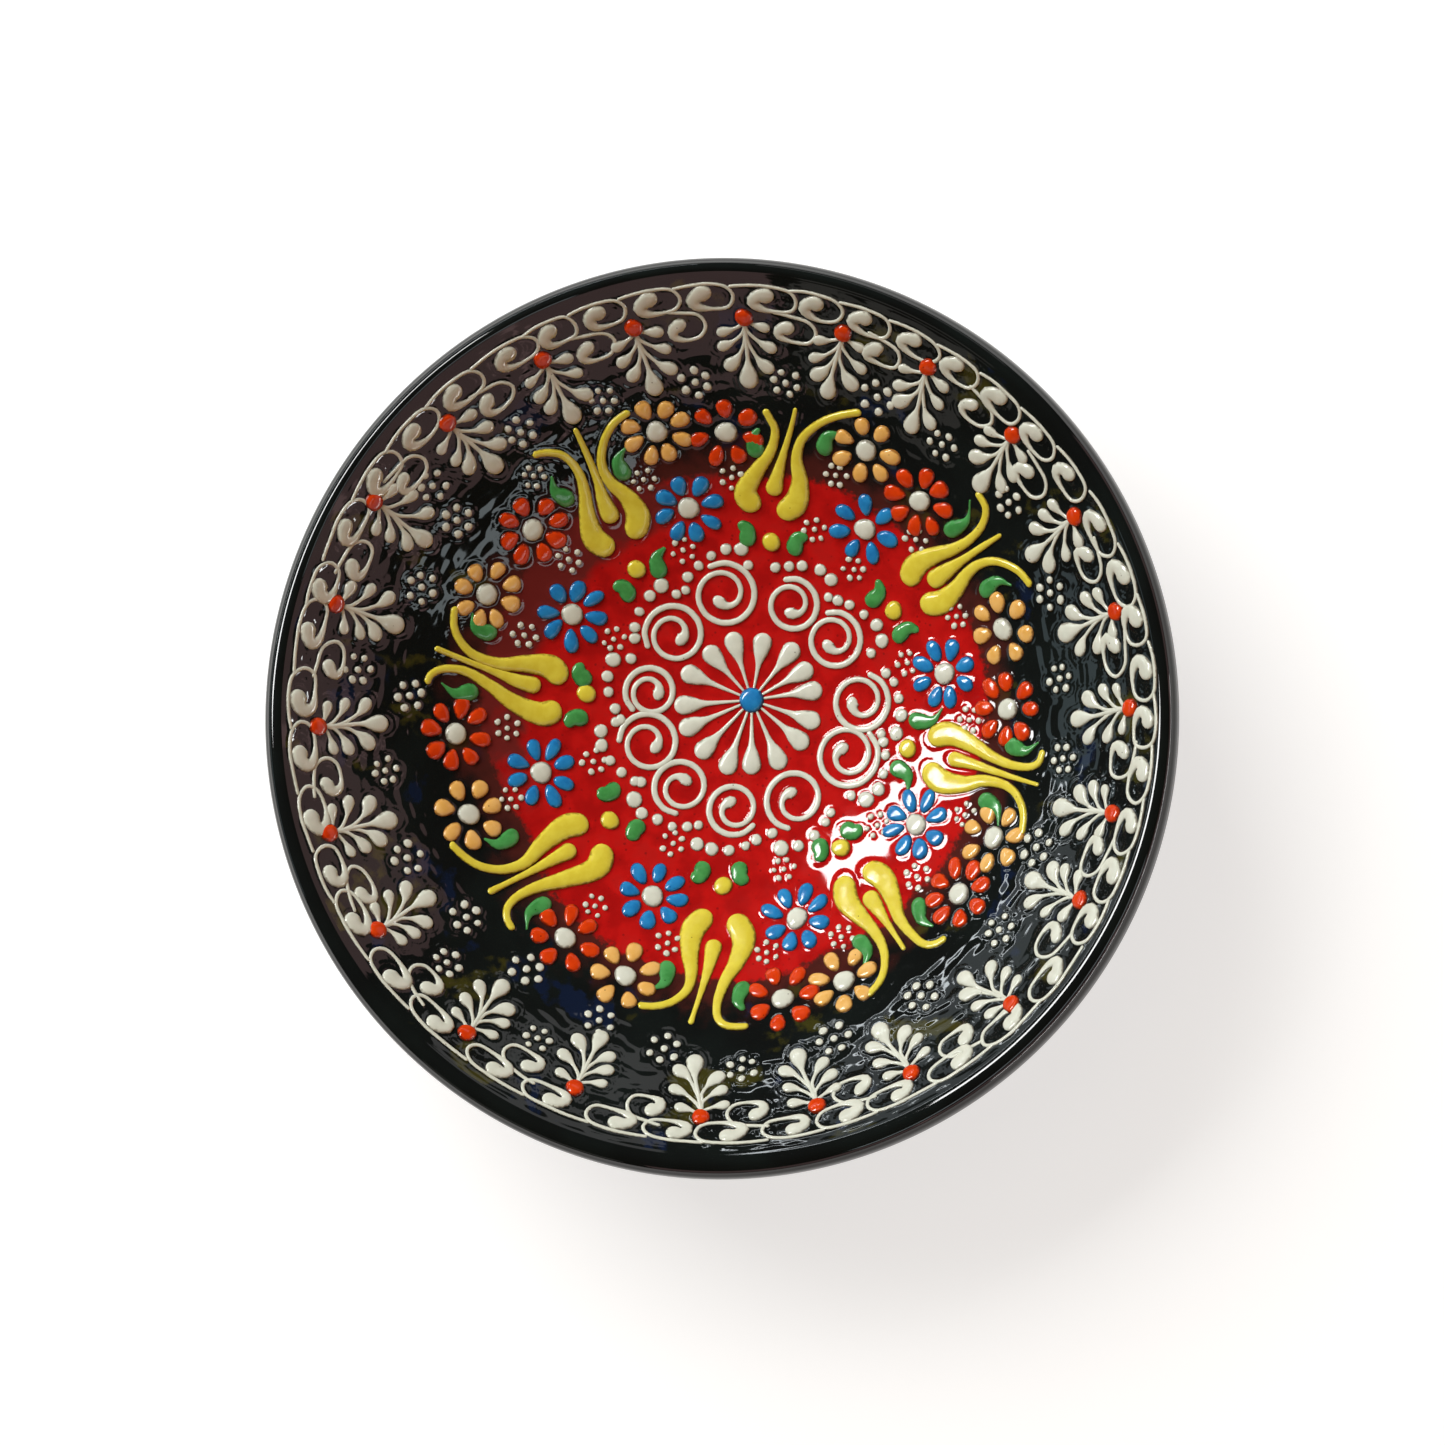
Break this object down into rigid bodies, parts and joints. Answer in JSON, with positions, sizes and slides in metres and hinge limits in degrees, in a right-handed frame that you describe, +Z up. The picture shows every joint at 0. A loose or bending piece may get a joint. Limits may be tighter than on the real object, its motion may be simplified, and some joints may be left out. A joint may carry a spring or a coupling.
{
  "type": "relief plate",
  "caption": "Deep round plate with a rolled black lip, a turned foot and raised slip painting of tulips, flowers, spirals and a garland of palmettes.",
  "frame": {"origin": "centre of the foot ring's resting plane, on the plate's axis", "axes": "+Z up through the mouth, along the plate's axis; +X and +Y in the resting plane, with the painting's angles counted from +X towards +Y"},
  "size_m": [0.2, 0.2, 0.05],
  "materials": {
    "biscuit_clay": "matt, unglazed",
    "black_glaze": "high gloss",
    "red_glaze": "high gloss",
    "cream_slip": "high gloss",
    "blue_slip": "high gloss",
    "scarlet_slip": "high gloss",
    "orange_slip": "high gloss",
    "yellow_slip": "high gloss",
    "green_slip": "high gloss"
  },
  "bodies": {
    "root": {"clay_body": "biscuit_clay", "floor_glaze": "red_glaze", "wall_glaze": "black_glaze", "rim_glaze": "black_glaze", "outer_glaze": "black_glaze", "foot_well_glaze": "black_glaze", "palmette_garland": "cream_slip", "rosette_petals": "cream_slip", "spiral_01": "cream_slip", "spiral_02": "cream_slip", "spiral_03": "cream_slip", "spiral_04": "cream_slip", "spiral_05": "cream_slip", "spiral_06": "cream_slip", "spiral_07": "cream_slip", "spiral_08": "cream_slip", "spiral_09": "cream_slip", "spiral_10": "cream_slip", "spiral_11": "cream_slip", "rosette_dot": "blue_slip", "blue_flower_1": "blue_slip", "blue_flower_2": "blue_slip", "blue_flower_3": "blue_slip", "blue_flower_4": "blue_slip", "blue_flower_5": "blue_slip", "blue_flower_6": "blue_slip", "blue_flower_7": "blue_slip", "blue_flower_8": "blue_slip", "red_flower_1": "scarlet_slip", "red_flower_2": "scarlet_slip", "red_flower_3": "scarlet_slip", "red_flower_4": "scarlet_slip", "red_flower_5": "scarlet_slip", "red_flower_6": "scarlet_slip", "red_flower_7": "scarlet_slip", "red_flower_8": "scarlet_slip", "orange_flower_1": "orange_slip", "orange_flower_2": "orange_slip", "orange_flower_3": "orange_slip", "orange_flower_4": "orange_slip", "orange_flower_5": "orange_slip", "orange_flower_6": "orange_slip", "orange_flower_7": "orange_slip", "orange_flower_8": "orange_slip", "tulip_1": "yellow_slip", "tulip_2": "yellow_slip", "tulip_3": "yellow_slip", "tulip_4": "yellow_slip", "tulip_5": "yellow_slip", "tulip_6": "yellow_slip", "tulip_7": "yellow_slip", "tulip_8": "yellow_slip", "tulip_dot_1": "yellow_slip", "tulip_dot_2": "yellow_slip", "tulip_dot_3": "yellow_slip", "tulip_dot_4": "yellow_slip", "tulip_dot_5": "yellow_slip", "tulip_dot_6": "yellow_slip", "tulip_dot_7": "yellow_slip", "tulip_dot_8": "yellow_slip"}
  },
  "joints": []
}
